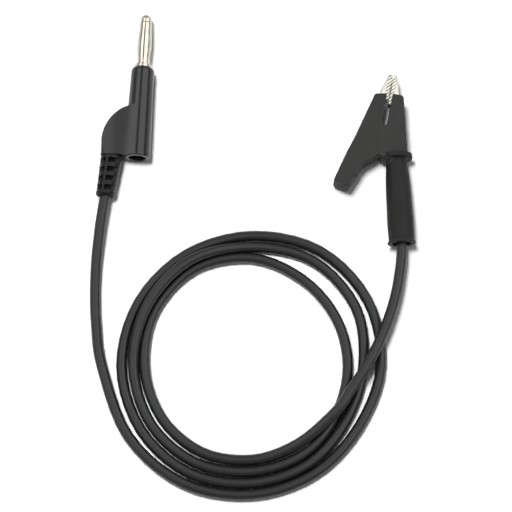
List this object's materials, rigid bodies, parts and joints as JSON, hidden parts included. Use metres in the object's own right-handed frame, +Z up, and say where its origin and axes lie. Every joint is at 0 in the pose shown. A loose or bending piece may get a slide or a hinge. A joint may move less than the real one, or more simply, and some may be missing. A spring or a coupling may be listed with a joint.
{
  "type": "alligator test lead",
  "caption": "Test lead with a stackable sprung plug, an alligator clip in a soft boot and a thin black cable in loose turns.",
  "frame": {"origin": "on the surface that the lead lies on, below the middle of the box round the plug and the clip", "axes": "+X from the plug towards the clip, +Y towards both tips, +Z up from the surface"},
  "size_m": [0.1042, 0.1595, 0.0104],
  "materials": {
    "gloss_black_plastic": "moulded, glossy",
    "matt_black_pvc": "soft, fine matt grain",
    "cable_black_pvc": "extruded, satin",
    "nickel_plate": "bright nickel plate",
    "plated_steel": "folded sheet, nickel plated",
    "spring_steel": "oiled wire",
    "copper_strands": "bare twisted strands"
  },
  "bodies": {
    "lead": {"plug_housing": "gloss_black_plastic", "strain_relief": "gloss_black_plastic", "socket_body": "nickel_plate", "pin_core": "nickel_plate", "plug_conductor": "copper_strands", "cable": "cable_black_pvc", "clip_boot": "matt_black_pvc", "fixed_jaw": "plated_steel", "jaw_pivot": "plated_steel", "jaw_spring": "spring_steel", "clip_conductor": "copper_strands"},
    "jaw": {"moving_jaw": "plated_steel"},
    "cage": {"spring_cage": "nickel_plate"}
  },
  "joints": [
    {"name": "jaw_hinge", "type": "hinge", "parent": "lead", "child": "jaw", "pos_m": [0.04073, -0.00385, 0.0052], "axis": [0, 0, 1], "range_deg": [0, 22], "stiffness_Nm_per_rad": 0.15, "springref_deg": -40.11, "deforming": ["clip_boot", "jaw_spring"]},
    {"name": "cage_spin", "type": "hinge", "parent": "lead", "child": "cage", "pos_m": [-0.03677, 0.02973, 0.00425], "axis": [0.0468, 0.9989, 0], "continuous": true}
  ]
}
